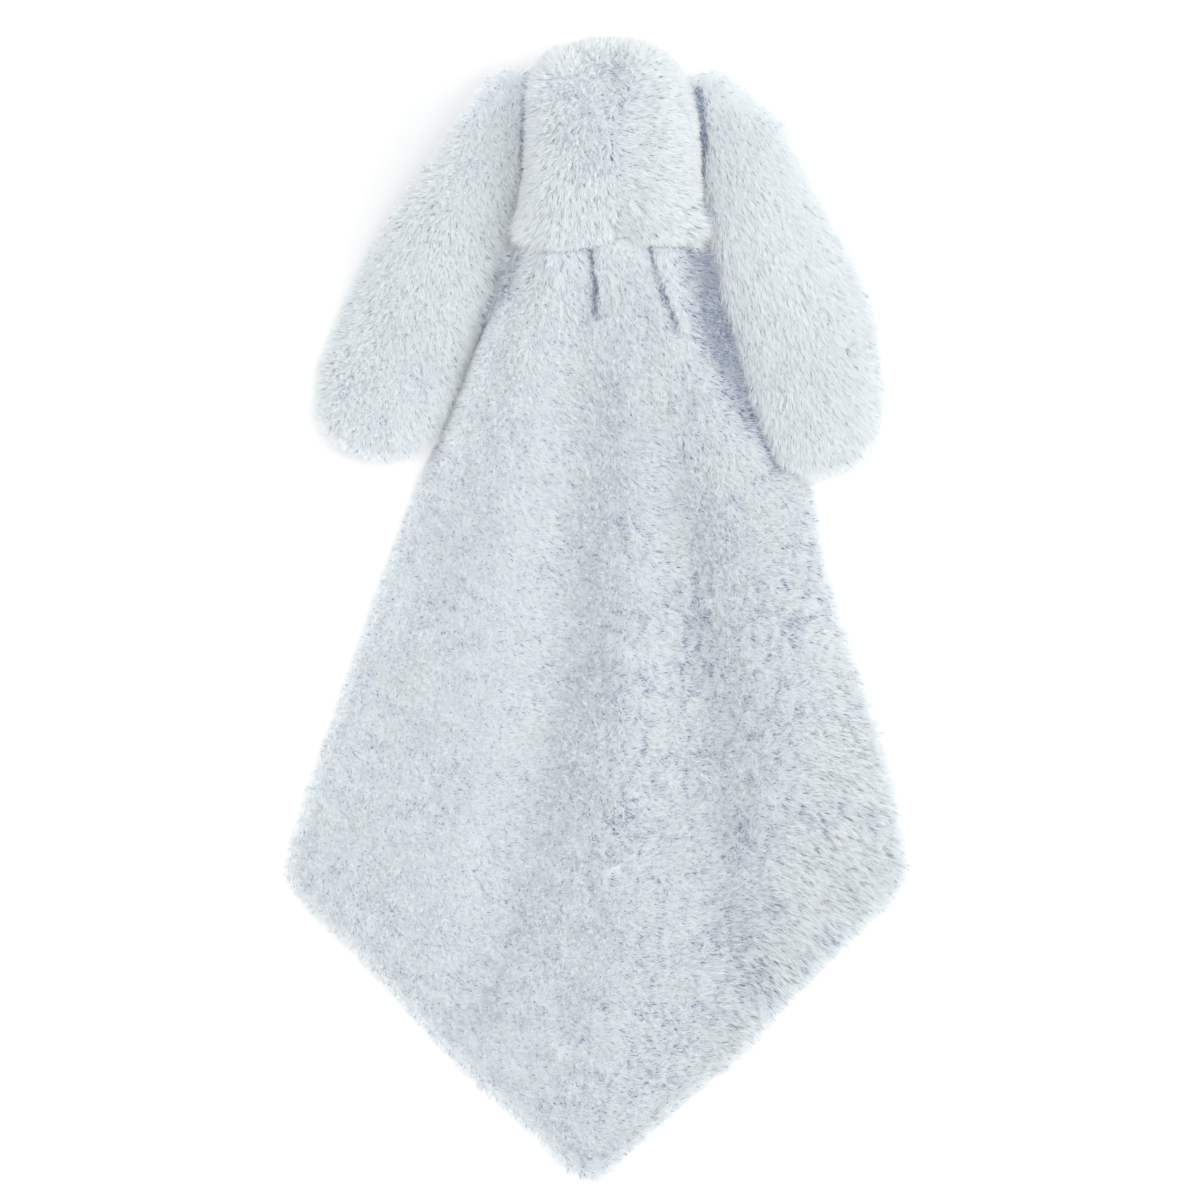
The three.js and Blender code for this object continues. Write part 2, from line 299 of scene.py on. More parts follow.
# embroidery: parallel stitches of twisted thread
darkThreadLook = {
    "name": "dark_thread",
    "light": (0.075, 0.06, 0.055, 1),
    "dark": (0.02, 0.016, 0.015, 1),
    "stitches": 330,  # rows of stitches in a metre
    "wander": 1.5,
    "detailScale": 2,
    "relief": 0.2 * mm,
    "bump": 1,
    "roughness": 0.45,
    "sheen": 0.2,
}
noseThreadLook = dict(
    darkThreadLook,
    name="nose_thread",
    light=(0.62, 0.36, 0.38, 1),
    dark=(0.40, 0.20, 0.22, 1),
)


def threadMaterial(look):
    material, tree, shader = newMaterial(look["name"])
    rowValues = {
        "Scale": look["stitches"] / wavesPerScale,
        "Distortion": look["wander"],
        "Detail Scale": look["detailScale"],
    }
    rows = addTexture(tree, "ShaderNodeTexWave", rowValues, bands_direction="Y")
    dress(tree, shader, rows.outputs["Fac"], look["dark"], look["light"], look)
    setInputs(tree, shader, {"Sheen Weight": look["sheen"]})
    return material


# loose polyester fibre
fillLook = {
    "light": (0.92, 0.92, 0.91, 1),
    "dark": (0.70, 0.71, 0.72, 1),
    "clumps": 160,  # clumps in a metre
    "detail": 5,
    "tangle": 1.2,
    "relief": 1.5 * mm,
    "bump": 1,
    "roughness": 0.95,
}


def fillMaterial(look):
    material, tree, shader = newMaterial("fibre_fill")
    clumpValues = {"Scale": look["clumps"], "Detail": look["detail"], "Distortion": look["tangle"]}
    clumps = addTexture(tree, "ShaderNodeTexNoise", clumpValues)
    dress(tree, shader, clumps.outputs["Fac"], look["dark"], look["light"], look)
    return material


pile = pileMaterial(pileLook)
backing = backingMaterial(backingLook)
satin = satinMaterial(satinLook)
fibre = fillMaterial(fillLook)


# locks of pile: a few fine strands that share a root and lean together
lock = {
    "kinds": 12,
    "seed": 7,
    "strands": 5,
    "length": 6 * mm,
    "rootRadius": 0.5 * mm,
    "tipRadius": 0.9 * mm,
    "tipSpread": (-0.3, 1),  # share of that radius, inwards and outwards
    "width": 0.32 * mm,
    "bend": 0.25,  # share of the length that a tip hangs over
    "unevenness": 0.35,  # how far the strands differ in length
    "twist": 0.6,  # how far a strand turns from facing up
}


def makeLock(name, draw, s):
    bm = bmesh.new()
    strandMap = bm.loops.layers.uv.new("OFBake")
    for strand in range(s["strands"]):
        turn = 2 * math.pi * (strand + draw.random()) / s["strands"]
        around = Vector((math.cos(turn), math.sin(turn), 0))
        root = around * s["rootRadius"] * math.sqrt(draw.random())
        tip = around * s["tipRadius"] * draw.uniform(*s["tipSpread"])
        length = s["length"] * (1 - s["unevenness"] * draw.random())
        twist = draw.uniform(-s["twist"], s["twist"])
        across = Vector((math.sin(twist), math.cos(twist), 0))
        tone = draw.random()
        made = bmesh.ops.create_grid(bm, x_segments=1, y_segments=2, size=0.5)["verts"]
        rises = {v: v.co.y + 0.5 for v in made}
        faces = {f for v in made for f in v.link_faces}
        for face in faces:
            for corner in face.loops:
                corner[strandMap].uv = (tone, rises[corner.vert])
        for v in made:
            rise = rises[v]
            side = math.copysign(0.5, v.co.x) * s["width"]
            hang = Vector((s["bend"] * length * rise * rise, 0, length * rise))
            v.co = root.lerp(tip, rise) + hang + across * side
        for face in faces:
            face.normal_update()
            if face.normal.x > 0:
                face.normal_flip()
        for end in (0, 1):
            ends = [v for v in made if v.is_valid and abs(rises[v] - end) < 0.1]
            middle = (ends[0].co + ends[1].co) / 2
            bmesh.ops.pointmerge(bm, verts=ends, merge_co=middle)
    mesh = bpy.data.meshes.new(name)
    bm.to_mesh(mesh)
    bm.free()
    mesh.materials.append(pile)
    return bpy.data.objects.new(name, mesh)


lockCollection = bpy.data.collections.new("pile_locks")
lockDraw = random.Random(lock["seed"])
for kind in range(lock["kinds"]):
    lockCollection.objects.link(makeLock(f"lock_{kind}", lockDraw, lock))


# node tree that plants locks on a skin, laid along its comb and gathered into tufts
class PileTree:
    def __init__(self, s):
        self.s = s
        self.tree = bpy.data.node_groups.new("grow_pile", "GeometryNodeTree")
        for way in ("INPUT", "OUTPUT"):
            self.tree.interface.new_socket("Geometry", in_out=way, socket_type="NodeSocketGeometry")
        self.place = self.add("GeometryNodeInputPosition").outputs["Position"]
        self.seed = s["seed"]

    def add(self, kind, inputs=None, **settings):
        return addNode(self.tree, kind, inputs, **settings)

    def math(self, operation, first, second, result="Vector"):
        node = self.add("ShaderNodeVectorMath", {0: first, 1: second}, operation=operation)
        return node.outputs[result]

    def scaled(self, vector, by):
        node = self.add("ShaderNodeVectorMath", {0: vector, "Scale": by}, operation="SCALE")
        return node.outputs["Vector"]

    def named(self, name, kind="FLOAT"):
        node = self.add("GeometryNodeInputNamedAttribute", {"Name": name}, data_type=kind)
        return node.outputs["Attribute"]

    def chance(self, kind, low, high):
        node = self.add("FunctionNodeRandomValue", data_type=kind)
        sockets = [s for s in node.inputs if s.enabled]
        outlet = [s for s in node.outputs if s.enabled][0]
        sockets[0].default_value = low
        sockets[1].default_value = high
        self.seed += 1
        node.inputs["Seed"].default_value = self.seed
        return outlet

    def noise(self, size):
        return self.add("ShaderNodeTexNoise", {"Scale": 1 / size, "Detail": 1, "Vector": self.place})

    # a direction that drifts about from place to place
    def drift(self, size, reach):
        centred = self.math("SUBTRACT", self.noise(size).outputs["Color"], (0.5, 0.5, 0.5))
        return self.scaled(centred, reach)

    def cells(self, at, **settings):
        return self.add("ShaderNodeTexVoronoi", {"Scale": 1, "Vector": at}, **settings)

    def shrunk(self, sizes):
        return self.math("MULTIPLY", self.place, tuple(1 / size for size in sizes))

    # towards the middle of the tuft that a lock belongs to
    def towardsTuft(self):
        s = self.s
        at = self.shrunk(s["tuftSize"])
        inward = self.math("SUBTRACT", self.cells(at).outputs["Position"], at)
        patches = self.noise(s["patchSize"]).outputs["Fac"]
        strength = self.ranged(patches, s["patchNoise"], (0, 2 * s["tuft"]))
        return self.scaled(inward, self.times(strength, self.named("cracks")))

    # thin lines where the pile parts, 1 in the middle of one
    def partings(self):
        s = self.s
        warp = self.scaled(self.noise(s["warpSize"]).outputs["Color"], s["warp"])
        at = self.math("ADD", self.shrunk(s["crackSize"]), warp)
        edge = self.cells(at, feature="DISTANCE_TO_EDGE").outputs["Distance"]
        thin = self.ranged(edge, (s["crackCore"] * s["crackWidth"], s["crackWidth"]), (1, 0))
        patches = self.noise(s["crackPatch"]).outputs["Fac"]
        return self.times(thin, self.ranged(patches, s["crackNoise"], (s["crackLeast"], 1)))

    # nearness to a crease, which shortens the pile there and darkens it with painted shade
    def nearCrease(self):
        here = None
        for crease in self.s["creases"]:
            core = self.s["creaseCore"] * crease["half"]
            for first, second in zip(crease["line"], crease["line"][1:]):
                off = self.offLine(first, second)
                close = self.ranged(off, (core, crease["half"]), (crease["depth"], 0))
                here = self.number("MAXIMUM", here, close) if here else close
        return here

    # share of the strands darkened with painted shade, in partings, clusters and creases and as specks
    def shaded(self, parting, crease):
        s = self.s
        clusters = self.noise(s["clusterSize"]).outputs["Fac"]
        cluster = self.ranged(clusters, s["clusterNoise"], (0, s["clusterShade"]))
        lines = self.ranged(parting, (0, 1), (0, s["partingShade"]))
        share = self.times(self.number("ADD", cluster, lines), self.named("cracks"))
        share = self.number("ADD", share, s["specks"])
        if crease:
            share = self.number("ADD", share, self.times(crease, s["creaseShade"]))
        return self.times(share, self.named("inner"))

    # distance from a line between two points of the plan, a little uneven
    def offLine(self, first, second):
        run = Vector(second) - Vector(first)
        rough = self.drift(self.s["creaseWanderSize"], self.s["creaseWander"])
        flat = self.math("MULTIPLY", self.math("ADD", self.place, rough), (1, 1, 0))
        away = self.math("SUBTRACT", flat, (*first, 0))
        unit = (run.x / run.length_squared, run.y / run.length_squared, 0)
        along = self.math("DOT_PRODUCT", away, unit, "Value")
        onLine = self.scaled((*run, 0), self.ranged(along, (0, 1), (0, 1)))
        return self.math("DISTANCE", away, onLine, "Value")

    def ranged(self, value, fromRange, toRange):
        return ranged(self.tree, value, fromRange, toRange)

    def number(self, operation, first, second):
        return number(self.tree, operation, first, second)

    def times(self, first, second):
        return self.number("MULTIPLY", first, second)

    def kept(self, geometry, name, kind, value, domain="INSTANCE"):
        inputs = {"Geometry": geometry, "Name": name, "Value": value}
        node = self.add("GeometryNodeStoreNamedAttribute", inputs, data_type=kind, domain=domain)
        return node.outputs["Geometry"]

    def build(self):
        s = self.s
        start = self.add("NodeGroupInput")
        plant = self.add("GeometryNodeDistributePointsOnFaces", {
            "Mesh": start.outputs["Geometry"],
            "Selection": self.named("furred", "BOOLEAN"),
            "Density": s["density"] / mm ** 2,
            "Seed": s["seed"],
        })

        comb = self.named("comb", "FLOAT_VECTOR")
        way = self.math("ADD", plant.outputs["Normal"], comb)
        way = self.math("ADD", way, self.drift(s["swirlSize"], 2 * s["swirl"]))
        way = self.math("ADD", way, self.towardsTuft())
        stray = s["stray"]
        way = self.math("ADD", way, self.chance("FLOAT_VECTOR", (-stray,) * 3, (stray,) * 3))
        stand = self.add("FunctionNodeAlignRotationToVector", {"Vector": way}, axis="Z")
        # strands turn their flat sides up and out
        sides = self.math("SUBTRACT", self.scaled(plant.outputs["Normal"], -1), (0, 0, s["faceUp"]))
        looks = {"Rotation": stand.outputs["Rotation"], "Vector": sides}
        face = self.add("FunctionNodeAlignRotationToVector", looks, axis="X", pivot_axis="Z")
        roll = self.chance("FLOAT_VECTOR", (0, 0, -s["roll"]), (0, 0, s["roll"]))
        turn = self.add("FunctionNodeEulerToRotation", {"Euler": roll})
        turns = {"Rotation": face.outputs["Rotation"], "Rotate By": turn.outputs["Rotation"]}
        rolled = self.add("FunctionNodeRotateRotation", turns, rotation_space="LOCAL")

        parting = self.times(self.partings(), self.named("cracks"))
        crease = self.nearCrease()
        lower = self.number("MAXIMUM", parting, crease) if crease else parting
        uneven = self.chance("FLOAT", 1 - s["uneven"], 1 + s["uneven"])
        tall = self.times(self.named("pile"), uneven)
        tall = self.times(tall, self.ranged(lower, (0, 1), (1, s["crackLow"])))
        points = self.kept(plant.outputs["Points"], "tall", "FLOAT", tall, "POINT")
        points = self.kept(points, "shaded", "FLOAT", self.shaded(parting, crease), "POINT")
        # tone of each strand: random, times painted shade at the rim, in the valleys and along creases
        light = self.ranged(self.noise(s["toneSize"]).outputs["Fac"], s["toneNoise"], s["tones"])
        light = self.times(light, self.named("dim"))
        if crease:
            light = self.times(light, self.ranged(crease, (0, 1), (1, s["creaseShadeTone"])))
        points = self.kept(points, "tone", "FLOAT", light, "POINT")
        grown = self.add("ShaderNodeCombineXYZ", {"X": 1, "Y": 1, "Z": self.named("tall")})

        picked = {"Collection": lockCollection, "Separate Children": True}
        put = self.add("GeometryNodeInstanceOnPoints", {
            "Points": points,
            "Instance": self.add("GeometryNodeCollectionInfo", picked).outputs["Instances"],
            "Pick Instance": True,
            "Rotation": rolled.outputs["Rotation"],
            "Scale": grown.outputs["Vector"],
        })

        # each strand differs a little, and some are darkened with painted shade
        instances = self.kept(put.outputs["Instances"], "luck", "FLOAT", self.chance("FLOAT", 0.0, 1.0))
        real = self.add("GeometryNodeRealizeInstances", {"Geometry": instances})
        strand = self.add("ShaderNodeSeparateXYZ", {"Vector": self.named("OFBake", "FLOAT_VECTOR")})
        own = strand.outputs["X"]
        drawn = self.number("FRACT", self.number("ADD", own, self.named("luck")), 0)
        dark = self.number("LESS_THAN", drawn, self.named("shaded"))
        tone = self.number("ADD", self.named("tone"), self.times(own, s["strandSpread"]))
        shade = self.ranged(strand.outputs["Y"], s["shadeRise"], (1 - s["shadeTone"], 0))
        tone = self.times(tone, self.number("SUBTRACT", 1, self.times(dark, shade)))
        mapped = self.add("ShaderNodeCombineXYZ", {"X": tone, "Y": strand.outputs["Y"]})
        toneAndRise = mapped.outputs["Vector"]
        geometry = self.kept(real.outputs["Geometry"], "OFBake", "FLOAT2", toneAndRise, "CORNER")
        for name in ("tone", "tall", "shaded", "luck"):
            forget = self.add("GeometryNodeRemoveAttribute", {"Name": name, "Geometry": geometry})
            geometry = forget.outputs["Geometry"]

        # strands that reach the floor lie on it
        onFloor = self.math("MAXIMUM", self.place, (-10, -10, s["floorGap"]))
        lie = self.add("GeometryNodeSetPosition", {"Geometry": geometry, "Position": onFloor})
        self.add("NodeGroupOutput", {"Geometry": lie.outputs["Geometry"]})
        return self.tree


# a CAD node's mesh with its doubled corners joined, to be shaped further
def openMesh(nodeName):
    mesh = frame["nodes"][nodeName].data.copy()
    bm = bmesh.new()
    bm.from_mesh(mesh)
    bmesh.ops.remove_doubles(bm, verts=bm.verts, dist=0.01 * mm)
    return mesh, bm


def closeMesh(bm, mesh, name, material):
    bm.to_mesh(mesh)
    bm.free()
    mesh.name = name
    mesh.materials.clear()
    mesh.materials.append(material)
    return newPiece(name, mesh)


# what a piece's modifiers make of it; the piece itself goes
def shapedMesh(piece):
    graph = bpy.context.evaluated_depsgraph_get()
    mesh = bpy.data.meshes.new_from_object(piece.evaluated_get(graph))
    bpy.data.objects.remove(piece)
    return mesh


# a thin skin inside a CAD panel, drawn in by part of the length of its pile
def skinFrom(nodeName, pieceName, s):
    source, bm = openMesh(nodeName)
    bm.to_mesh(source)
    bm.free()
    rough = newPiece(pieceName + "_rough", source)
    remesh = rough.modifiers.new("fine", "REMESH")
    remesh.mode = "VOXEL"
    remesh.voxel_size = s["voxel"]
    fine = shapedMesh(rough)

    bm = bmesh.new()
    bm.from_mesh(fine)
    smooth = dict(factor=s["smoothing"], use_axis_x=True, use_axis_y=True, use_axis_z=True)
    for step in range(2):
        bmesh.ops.smooth_vert(bm, verts=bm.verts, **smooth)
    for v in bm.verts:
        v.co += s["ease"](v.co)
    bm.normal_update()
    tree = BVHTree.FromBMesh(bm)
    moves = {}
    for v in bm.verts:
        if s["outward"](v.co, v.normal):
            hit = tree.ray_cast(v.co - v.normal * s["probe"], -v.normal)
            thick = hit[3] if hit[0] else s["pile"](v.co)
            deep = min(s["inset"] * s["pile"](v.co), s["deepest"] * thick)
            moves[v] = v.normal * deep * s["draw"](v.normal)
    for v, move in moves.items():
        v.co -= move
        v.co.z -= s["dip"](v.co)
    bmesh.ops.smooth_vert(bm, verts=bm.verts, **smooth)
    for v in bm.verts:
        v.co.z = max(v.co.z, s["lowest"] + (s["least"] if v in moves else 0))
    bm.normal_update()
    skin = closeMesh(bm, fine, pieceName, s["material"])
    for face in fine.polygons:
        face.use_smooth = True
    return skin


# the skin carries the comb, the pile's length, its tone with painted shade at the rim and in the
# valleys, and the faces that it grows on
skinValues = ("pile", "cracks", "dim", "inner")


def combSkin(skin, s):
    mesh = skin.data
    mesh.attributes.new("comb", "FLOAT_VECTOR", "POINT")
    mesh.attributes.new("furred", "BOOLEAN", "FACE")
    for name in skinValues:
        mesh.attributes.new(name, "FLOAT", "POINT")
    comb = mesh.attributes["comb"].data
    furred = mesh.attributes["furred"].data
    tall, cracks, dim, inner = [mesh.attributes[name].data for name in skinValues]
    for v in mesh.vertices:
        lay = s["comb"](v.co)
        comb[v.index].vector = lay - v.normal * lay.dot(v.normal)
        atRim = 1 - ease(v.normal.z, *s["rimFacing"])
        rimPile, rimShade = s["rim"](v.co)
        tucked = blendBetween(1, s["underRim"], ease(-v.normal.z, *s["underFacing"]))
        tall[v.index].value = s["pile"](v.co) / lock["length"] * blendBetween(1, rimPile, atRim) * tucked
        dim[v.index].value = blendBetween(1, rimShade, atRim) * s["pressed"](v.co)
        cracks[v.index].value = s["cracks"](v.co)
        inner[v.index].value = 1 - atRim
    for face in mesh.polygons:
        grows = s["pile"](face.center) > s["bareBelow"]
        furred[face.index].value = grows and s["outward"](face.center, face.normal)


def growPile(skin, pieceName, s, within):
    bed = newPiece(pieceName + "_bed", skin.data.copy())
    furred = bed.data.attributes["furred"].data
    for face in bed.data.polygons:
        furred[face.index].value &= within(face.center)
    group = PileTree(s).build()
    bed.modifiers.new("pile", "NODES").node_group = group
    mesh = shapedMesh(bed)
    mesh.name = pieceName
    bpy.data.node_groups.remove(group)
    print(pieceName, "triangles:", sum(len(f.vertices) - 2 for f in mesh.polygons))
    return newPiece(pieceName, mesh)


headLow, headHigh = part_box("head_stuffing")
headMiddle = (headLow + headHigh) / 2
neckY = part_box("neck_panel")[0].y
faceBoxes = [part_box(name) for name in ("eye_left", "eye_right", "nose", "mouth")]


facing = {
    "head": 0.25,  # how squarely a face of the head looks out to be furred
    "flat": -0.5,  # how far round its rim a flat panel is furred, over the edge of the lining
}
faceTrim = {"reach": 5 * mm, "bare": 0.2}


def outOfHead(co, normal):
    out = co - headMiddle
    return normal.dot(out) > facing["head"] * out.length


def upwards(co, normal):
    return normal.z > facing["flat"]


# 1 under the embroidered face, where the pile is trimmed away, to 0 a little way off
def trimmedForFace(co):
    if co.z > headMiddle.z:
        return 0
    off = 1
    for low, high in faceBoxes:
        aside = max(low.x - co.x, co.x - high.x, 0)
        along = max(low.y - co.y, co.y - high.y, 0)
        off = min(off, math.hypot(aside, along) / faceTrim["reach"])
    return 1 - ease(off, faceTrim["bare"], 1)


def combAt(degrees, lean):
    turn = math.radians(degrees)
    return Vector((math.cos(turn), math.sin(turn), 0)) * lean


# pleats that open from the gathered neck, and the creases beside the ears, as lines on the plan: the
# cloth dips along them, and painted shade darkens their pile
pleat = {"wide": 4 * mm, "fade": 0.6}
pleats = [
    dict(
        pleat,
        line=inMm([(-1.8, 126), (0.4, 114.5), (0, 103.7)]),
        half=1.6 * mm, depth=1, dip=3 * mm,
    ),
    dict(
        pleat,
        line=inMm([(19, 126.5), (22.7, 116.3), (27.7, 101)]),
        half=1.3 * mm, depth=0.9, dip=2.5 * mm,
    ),
    dict(
        pleat,
        line=inMm([(-11.5, 122), (-12.4, 119)]),
        half=0.9 * mm, depth=0.6, dip=2 * mm, wide=3 * mm,
    ),
    dict(
        pleat,
        line=inMm([(36, 132), (43.5, 96), (58, 69)]),
        half=11 * mm, depth=0.7, dip=4 * mm, wide=10 * mm, fade=0.3,
    ),
    dict(
        pleat,
        line=inMm([(58, 70), (65, 50)]),
        half=5 * mm, depth=0.7, dip=2 * mm, wide=6 * mm, fade=0.5,
    ),
    dict(
        pleat,
        line=inMm([(-26, 123), (-45, 91), (-58, 53)]),
        half=4 * mm, depth=0.35, dip=3 * mm, wide=6 * mm, fade=0.5,
    ),
]

# painted shade, and shorter pile, along the lines where the ears lie against the head
earCreases = [
    {
        "line": inMm([(-23, 194), (-25.6, 162), (-27.7, 134), (-31, 122)]),
        "half": 2.2 * mm,
        "depth": 0.8,
    },
    {
        "line": inMm([(37, 182), (37.8, 162), (36, 141), (38, 122)]),
        "half": 2.6 * mm,
        "depth": 0.9,
    },
]

# broad valleys between the blanket's soft folds
valleyDepth = 2 * mm
valleys = [
    {"line": inMm([(4, 108), (2, 15), (-16, -71), (-40, -147)]), "half": 24 * mm},
    {"line": inMm([(31, 44), (45, -57), (50, -132)]), "half": 20 * mm},
]


# distance from a line of several points on the plan
def awayFrom(line, co):
    at = Vector((co.x, co.y))
    aways = []
    for first, second in zip(line, line[1:]):
        top = Vector(first)
        run = Vector(second) - top
        share = min(1, max(0, (at - top).dot(run) / run.length_squared))
        aways.append((at - top - run * share).length)
    return min(aways)


# nearness to a pleat, 1 in its valley, and how deep that valley is
def inPleat(co):
    near = 0
    deep = 0
    for p in pleats:
        top = Vector(p["line"][0])
        whole = Vector(p["line"][-1]) - top
        down = (Vector((co.x, co.y)) - top).dot(whole) / whole.length_squared
        close = 1 - ease(awayFrom(p["line"], co) / p["wide"], 0, 1)
        close *= 1 - p["fade"] * min(1, max(0, down))
        near = max(near, close)
        deep = max(deep, close * p["dip"])
    return near, deep


# nearness to a valley, 1 along its bottom
def inValley(co):
    return max(1 - ease(awayFrom(valley["line"], co) / valley["half"], 0, 1) for valley in valleys)


def blanketDip(co):
    return max(inPleat(co)[1], valleyDepth * inValley(co))


# the neck seam wanders a little where the pleats pull it
neckSeam = {
    "rise": 3 * mm,
    "riseAt": 10 * mm,
    "fall": 2 * mm,
    "fallAt": -11 * mm,
    "spread": 6 * mm,
    "reach": spanMm(3, 14),
    "height": spanMm(20, 30),
    "parted": spanMm(0.5, 4),  # from where the pile is short at the seam to full length
}


def seamWave(co):
    s = neckSeam
    up = s["rise"] * hill(co.x, s["riseAt"], s["spread"])
    down = s["fall"] * hill(co.x, s["fallAt"], s["spread"])
    here = 1 - ease(abs(co.y - neckY), *s["reach"])
    return (up - down) * here * ease(co.z, *s["height"])


# the free edges spread a little, most along the bottom
blanketSpread = {
    "side": spanMm(20, 80),
    "down": spanMm(60, 110),
    "right": spanMm(4.5, 1.5),  # outwards at the middle, and lower down
    "left": 3.5 * mm,
    "below": spanMm(40, 80),  # nothing spreads above this
    "bulge": 4 * mm,
    "bulgeAt": 46 * mm,
    "bulgeSpread": 25 * mm,
    "bulgeSide": spanMm(35, 70),
    "drop": 8 * mm,
    "dropDown": spanMm(60, 140),
    "dropSide": spanMm(40, 80),
    "corners": 0.8,  # how much less the corners drop
}


def blanketEase(co):
    s = blanketSpread
    out = blendBetween(*s["right"], ease(-co.y, *s["down"])) * ease(co.x, *s["side"])
    out -= s["left"] * ease(-co.x, *s["side"])
    out *= 1 - ease(co.y, *s["below"])
    out += s["bulge"] * hill(co.y, s["bulgeAt"], s["bulgeSpread"]) * ease(co.x, *s["bulgeSide"])
    middle = 1 - s["corners"] * ease(abs(co.x), *s["dropSide"])
    drop = s["drop"] * ease(-co.y, *s["dropDown"]) * middle
    return Vector((out, seamWave(co) - drop, 0))


# the head fills out to the ears above the neck seam, and at the left of the crown
headFill = {
    "cheek": 4 * mm,
    "cheekUp": spanMm(4, 26),
    "cheekSide": spanMm(14, 24),
    "crown": 3 * mm,
    "crownUp": spanMm(170, 185),
    "crownSide": spanMm(6, 18),
    "height": spanMm(12, 24),
}


def headEase(co):
    s = headFill
    side = co.x - headMiddle.x
    full = s["cheek"] * (1 - ease(co.y - neckY, *s["cheekUp"])) * ease(abs(side), *s["cheekSide"])
    full += s["crown"] * ease(co.y, *s["crownUp"]) * ease(-side, *s["crownSide"])
    full *= ease(co.z, *s["height"])
    return Vector((math.copysign(full, side), seamWave(co), 0))


# pile and tone of the rim: cropped and darkened with painted shade on the left, long and pale on the
# right
blanketEdge = {"across": spanMm(-40, 40), "pile": (0.55, 1.1), "tone": (0.8, 1)}


def blanketRim(co):
    right = ease(co.x, *blanketEdge["across"])
    return blendBetween(*blanketEdge["pile"], right), blendBetween(*blanketEdge["tone"], right)


# how the blanket's pile lies, in degrees and as a lean, and how long it is
blanketLay = {
    "down": spanMm(-60, 140),
    "across": spanMm(-70, 60),
    "slant": 0.35,  # of the right edge
    "rim": spanMm(80, 115),
    "highTurn": -30,
    "rightTurn": 25,
    "rimTurn": -35,
    "lean": (0.2, 0.3),
    "rimLean": 0.55,
}
blanketLength = {
    "across": spanMm(-60, 60),
    "length": spanMm(3.6, 4.6),
    "rim": spanMm(85, 115),
    "rimLonger": 3 * mm,
    "atSeam": 0.6,
    "inPleat": 0.5,
    "corner": 7 * mm,
}


def acrossToRim(co):
    return co.x - blanketLay["slant"] * co.y


def blanketComb(co):
    s = blanketLay
    low = ease(-co.y, *s["down"])
    right = ease(co.x, *s["across"])
    rim = ease(acrossToRim(co), *s["rim"])
    degrees = blendBetween(s["highTurn"], s["rightTurn"] * right, low)
    degrees = blendBetween(degrees, s["rimTurn"] * low, rim)
    return combAt(degrees, blendBetween(*s["lean"], right) + s["rimLean"] * rim)


# 1 at the sides of the neck, where pile closes the corner between head, ear and blanket
neckCorner = {"aside": spanMm(22, 28), "along": spanMm(8, 18)}


def atNeckCorner(co):
    aside = ease(abs(co.x - headMiddle.x), *neckCorner["aside"])
    return aside * (1 - ease(abs(co.y - neckY), *neckCorner["along"]))


def blanketPile(co):
    s = blanketLength
    seam = ease(neckY - co.y, *neckSeam["parted"])
    length = blendBetween(*s["length"], ease(co.x, *s["across"]))
    length += s["rimLonger"] * ease(acrossToRim(co), *s["rim"])
    length *= blendBetween(s["atSeam"], 1, seam) * (1 - s["inPleat"] * inPleat(co)[0])
    return blendBetween(length, s["corner"], atNeckCorner(co))


# the pile parts less, with less painted shade in its partings, at the left and near the neck
blanketParting = {"across": spanMm(-45, 30), "down": spanMm(-90, 20), "least": 0.6}


def blanketCracks(co):
    s = blanketParting
    right = ease(co.x, *s["across"])
    low = ease(-co.y, *s["down"])
    return blendBetween(s["least"], 1, right) * blendBetween(s["least"], 1, low)


# the ears' roots lap onto the head, and the left ear is fuller at its tip
earRoot = spanMm(160, 180)
leftEarShape = {
    "slim": 3.5 * mm,
    "slimUp": spanMm(85, 110),
    "slimSide": spanMm(40, 60),
    "full": 1.5 * mm,
    "fullUp": spanMm(75, 95),
    "fullSide": spanMm(70, 90),
    "lap": 1.5 * mm,
}


def leftEarEase(co):
    s = leftEarShape
    slim = s["slim"] * ease(co.y, *s["slimUp"]) * ease(-co.x, *s["slimSide"])
    full = s["full"] * (1 - ease(co.y, *s["fullUp"])) * ease(-co.x, *s["fullSide"])
    lap = s["lap"] * ease(co.y, *earRoot)
    return Vector((slim - full + lap, lap, 0))


# the right ear hangs closer in than its pattern, and longer
rightEarShape = {
    "axisTop": spanMm(41, 182),
    "axisSlope": 0.296,
    "across": spanMm(-20, 20),
    "hang": spanMm(4.5, 4),  # inwards all over, and more at the inner edge
    "hangTop": 178 * mm,
    "hangDown": spanMm(5, 45),
    "shoulder": 3.5 * mm,
    "shoulderAt": 172 * mm,
    "shoulderSpread": 9 * mm,
    "shoulderSide": spanMm(50, 62),
    "longer": 4 * mm,
    "longerTop": 85 * mm,
    "longerDown": (0, 35 * mm),
    "lap": spanMm(1.5, 1),  # inwards and upwards
}


def rightEarEase(co):
    s = rightEarShape
    root = ease(co.y, *earRoot)
    axis = s["axisTop"][0] + s["axisSlope"] * (s["axisTop"][1] - co.y)
    inner = ease(axis - co.x, *s["across"])
    hang = (s["hang"][0] + s["hang"][1] * inner) * ease(s["hangTop"] - co.y, *s["hangDown"])
    shoulder = s["shoulder"] * hill(co.y, s["shoulderAt"], s["shoulderSpread"])
    shoulder *= ease(co.x, *s["shoulderSide"])
    longer = s["longer"] * ease(s["longerTop"] - co.y, *s["longerDown"])
    return Vector((shoulder - hang - s["lap"][0] * root, s["lap"][1] * root - longer, 0))


# an ear's pile is shorter at its root
earTop = spanMm(165, 182)


def earPile(co, full, atRoot):
    return blendBetween(full, atRoot, ease(co.y, *earTop))


headLength = {"length": 5 * mm, "atSeam": 0.7, "corner": 9 * mm}


def headPile(co):
    s = headLength
    seam = ease(co.y - neckY, *neckSeam["parted"])
    length = s["length"] * blendBetween(s["atSeam"], 1, seam)
    length = blendBetween(length, s["corner"], atNeckCorner(co))
    return length * (1 - trimmedForFace(co))


